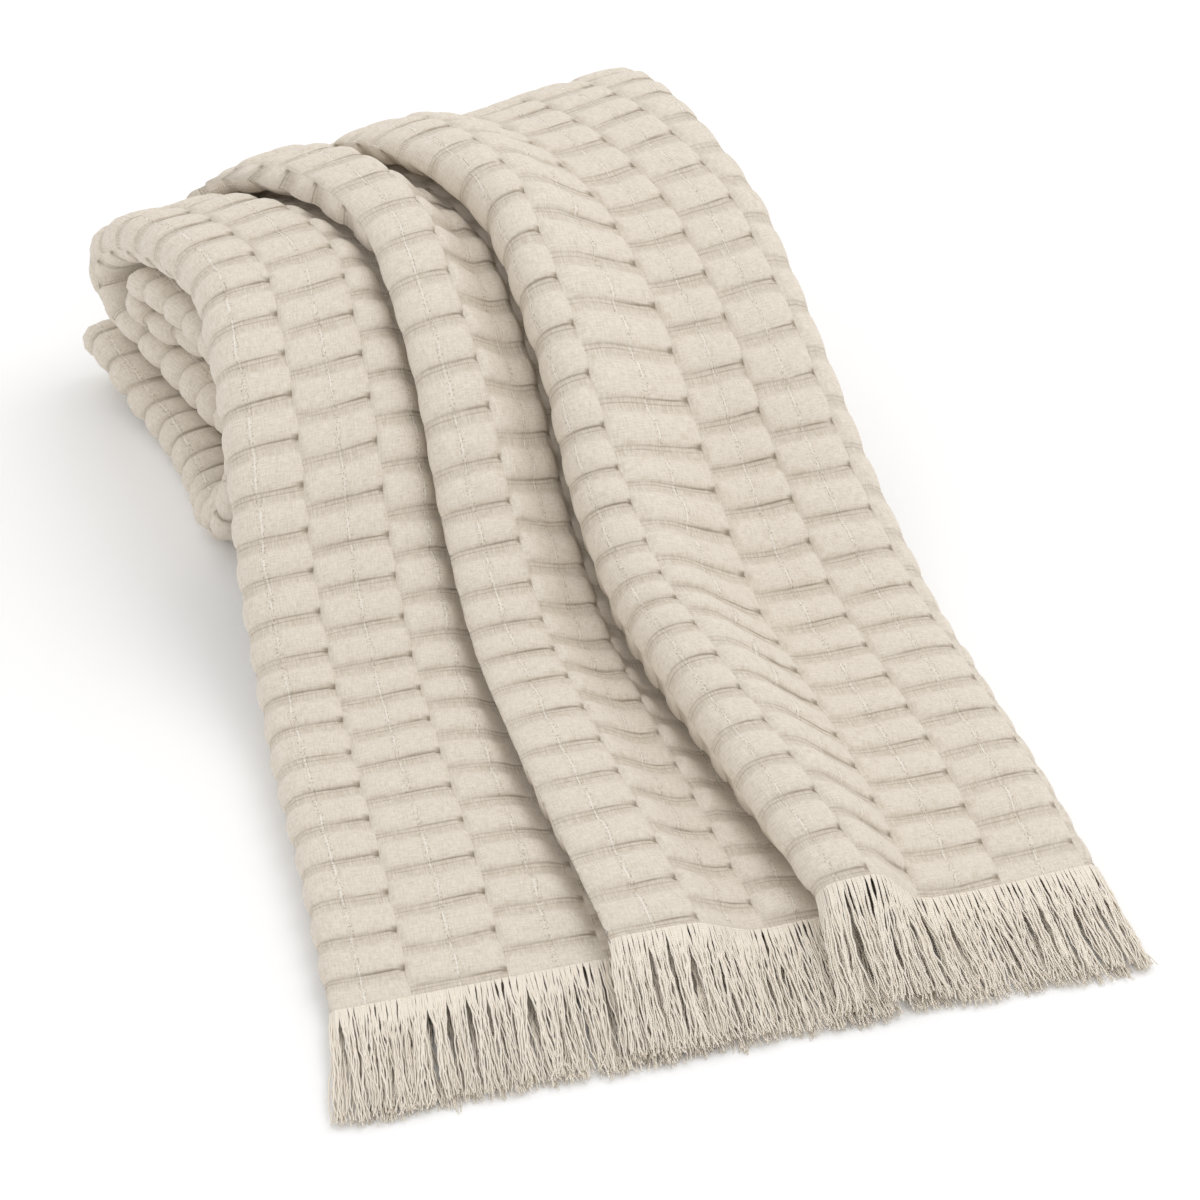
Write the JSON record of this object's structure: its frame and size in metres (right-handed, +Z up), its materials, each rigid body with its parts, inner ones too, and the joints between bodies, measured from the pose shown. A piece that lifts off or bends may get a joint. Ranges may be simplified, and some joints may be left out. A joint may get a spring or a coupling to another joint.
{
  "type": "throw blanket",
  "caption": "Puffed-rib woven throw with a yarn fringe, folded in half, pleated and drawn up over its own folded-back end.",
  "frame": {"origin": "centre of the box at the surface the throw lies on", "axes": "+Z up, +Y from the fringed front hem towards the folded stack, +X to the right seen from the hem"},
  "size_m": [0.579, 0.8984, 0.2412],
  "materials": {
    "puffed_cotton": "matt woven cotton",
    "fringe_yarn": "matt loose cotton yarn"
  },
  "bodies": {
    "root": {"throw_cloth": "puffed_cotton", "fringe": "fringe_yarn"}
  },
  "joints": []
}
